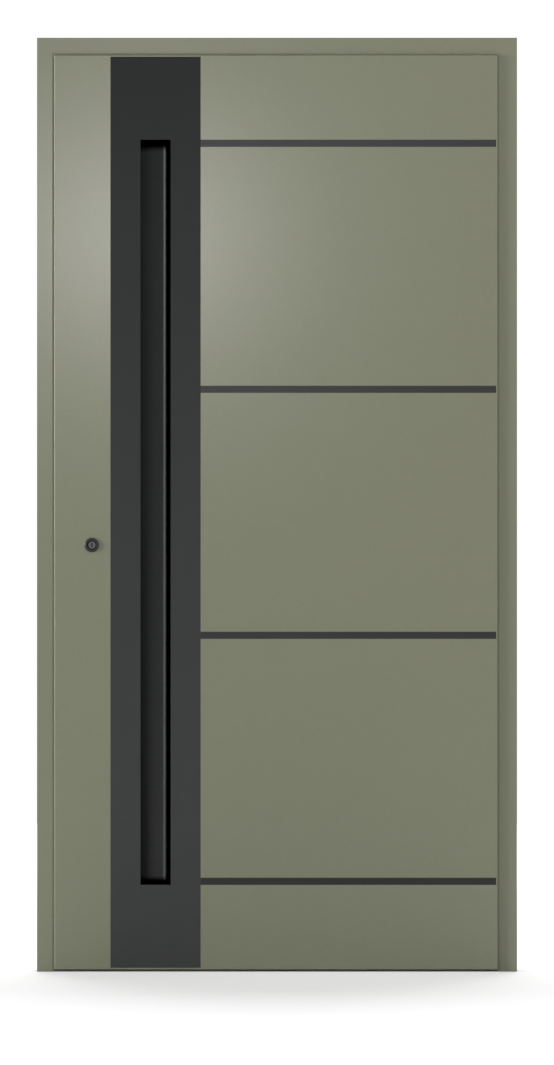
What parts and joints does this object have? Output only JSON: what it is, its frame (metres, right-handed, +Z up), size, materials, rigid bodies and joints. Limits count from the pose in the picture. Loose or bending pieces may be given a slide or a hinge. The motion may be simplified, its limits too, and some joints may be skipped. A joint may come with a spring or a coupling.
{
  "type": "panelled front door with frame",
  "caption": "Inward-opening front door in its frame, flush green leaf with a black full-height plate, a recessed grip and inlaid cross strips, multipoint lock and barrel hinges.",
  "frame": {"origin": "underside of the threshold, at the middle of the frame's width and depth", "axes": "+X to the right as seen from outside, +Y into the building, +Z up"},
  "size_m": [1.1, 0.1595, 2.14],
  "materials": {
    "frame_coat": "fine-structure powder coat, matt",
    "leaf_coat": "fine-structure powder coat, matt",
    "profile_coat": "powder coat on fibre composite, matt",
    "polyamide": "extruded, matt",
    "mill_aluminium": "mill finish",
    "seal_rubber": "extruded, matt",
    "stainless": "brushed",
    "hinge_coat": "powder coat, matt",
    "foam": "cut foam",
    "black_coat": "smooth satin coat",
    "strip_anodised": "dark anodised, satin",
    "grip_coat": "smooth satin coat",
    "zinc_plated": "zinc plated",
    "nickel_brass": "nickel plated brass, satin"
  },
  "bodies": {
    "frame": {"lock_jamb_outer_shell": "frame_coat", "hinge_jamb_outer_shell": "frame_coat", "head_outer_shell": "frame_coat", "lock_jamb_inner_shell": "frame_coat", "hinge_jamb_inner_shell": "frame_coat", "head_inner_shell": "frame_coat", "frame_thermal_bars": "polyamide", "frame_corner_cleats": "mill_aluminium", "frame_gasket": "seal_rubber", "threshold_plate": "mill_aluminium", "lower_strike_plate": "stainless", "main_strike_plate": "stainless", "upper_strike_plate": "stainless", "lower_hinge_frame_wing": "hinge_coat", "middle_hinge_frame_wing": "hinge_coat", "upper_hinge_frame_wing": "hinge_coat"},
    "leaf": {"outer_skin": "leaf_coat", "inner_skin": "leaf_coat", "insulation_core": "foam", "lock_stile": "profile_coat", "hinge_stile": "profile_coat", "top_rail": "profile_coat", "bottom_rail": "profile_coat", "cover_plate": "black_coat", "inlay_strip_1": "strip_anodised", "inlay_strip_2": "strip_anodised", "inlay_strip_3": "strip_anodised", "inlay_strip_4": "strip_anodised", "grip_trough": "grip_coat", "grip_bottom_cap": "grip_coat", "grip_top_cap": "grip_coat", "bottom_sweep_seal": "seal_rubber", "lock_faceplate": "stainless", "main_lock_case": "zinc_plated", "lower_hook_case": "zinc_plated", "upper_hook_case": "zinc_plated", "cylinder_body": "nickel_brass", "outer_rose": "stainless", "inside_backplate": "stainless", "lower_hinge_leaf_wing": "hinge_coat", "middle_hinge_leaf_wing": "hinge_coat", "upper_hinge_leaf_wing": "hinge_coat"},
    "lever": {"inside_lever": "stainless", "lever_spindle": "zinc_plated"},
    "latch": {"latch_bolt": "zinc_plated"},
    "outer_key": {"outer_plug": "nickel_brass", "cylinder_cam": "nickel_brass"},
    "inner_key": {"inner_plug": "nickel_brass"},
    "deadbolt": {"deadbolt": "zinc_plated"},
    "upper_hook": {"upper_hook": "zinc_plated"},
    "lower_hook": {"lower_hook": "zinc_plated"},
    "rods": {"drive_rods": "zinc_plated"}
  },
  "joints": [
    {"name": "leaf_swing", "type": "hinge", "parent": "frame", "child": "leaf", "pos_m": [0.5215, 0.056, 1], "axis": [0, 0, -1], "range_deg": [0, 100]},
    {"name": "lever_turn", "type": "hinge", "parent": "leaf", "child": "lever", "pos_m": [-0.424, 0.05, 1.0694], "axis": [0, 1, 0], "range_deg": [0, 45], "stiffness_Nm_per_rad": 1, "springref_deg": -22.92},
    {"name": "latch_throw", "type": "slide", "parent": "leaf", "child": "latch", "axis": [-1, 0, 0], "range_m": [0, 0.012]},
    {"name": "outer_key_turn", "type": "hinge", "parent": "leaf", "child": "outer_key", "pos_m": [-0.424, 0, 0.9774], "axis": [0, 1, 0], "range_deg": [0, 360]},
    {"name": "inner_key_turn", "type": "hinge", "parent": "leaf", "child": "inner_key", "pos_m": [-0.424, 0, 0.9774], "axis": [0, 1, 0], "range_deg": [0, 360]},
    {"name": "deadbolt_throw", "type": "slide", "parent": "leaf", "child": "deadbolt", "axis": [-1, 0, 0], "range_m": [0, 0.02]},
    {"name": "upper_hook_swing", "type": "hinge", "parent": "leaf", "child": "upper_hook", "pos_m": [-0.505, 0.018, 1.75], "axis": [0, -1, 0], "range_deg": [0, 90]},
    {"name": "lower_hook_swing", "type": "hinge", "parent": "leaf", "child": "lower_hook", "pos_m": [-0.505, 0.018, 0.35], "axis": [0, -1, 0], "range_deg": [0, 90]},
    {"name": "rod_slide", "type": "slide", "parent": "leaf", "child": "rods", "axis": [0, 0, 1], "range_m": [0, 0.015]}
  ],
  "couplings": [
    {"joint": "outer_key_turn", "follows": "deadbolt_throw", "rad_per_m": 314.16},
    {"joint": "upper_hook_swing", "follows": "deadbolt_throw", "rad_per_m": 78.54},
    {"joint": "lower_hook_swing", "follows": "deadbolt_throw", "rad_per_m": 78.54},
    {"joint": "rod_slide", "follows": "deadbolt_throw", "ratio": 0.75}
  ]
}
